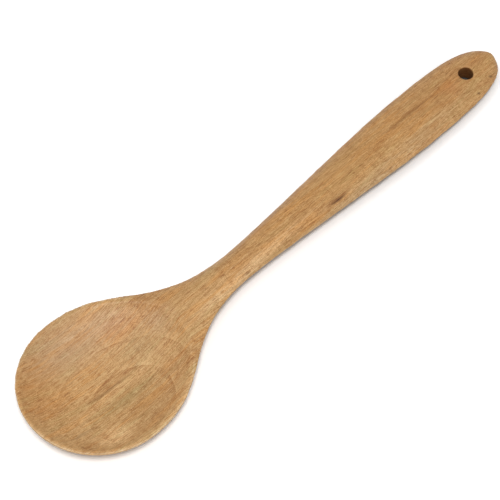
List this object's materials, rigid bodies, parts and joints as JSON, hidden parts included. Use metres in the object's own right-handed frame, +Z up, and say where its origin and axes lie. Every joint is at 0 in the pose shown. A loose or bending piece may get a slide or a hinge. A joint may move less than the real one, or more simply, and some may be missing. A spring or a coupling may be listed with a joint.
{
  "type": "wooden spoon",
  "caption": "Round-bowled wooden cooking spoon with a slim neck, a wide flat-oval grip and a hanging hole at the end of the handle.",
  "frame": {"origin": "on the table under the middle of the spoon as it lies hollow side up: centre of its bounding box in X and Y, its lowest point in Z", "axes": "+X along the spoon from the bowl's tip to the handle's end, +Y across the bowl, +Z up out of the hollow"},
  "size_m": [0.28, 0.069, 0.0165],
  "materials": {
    "beech": "sanded, lightly oiled satin"
  },
  "bodies": {
    "root": {"spoon": "beech"}
  },
  "joints": []
}
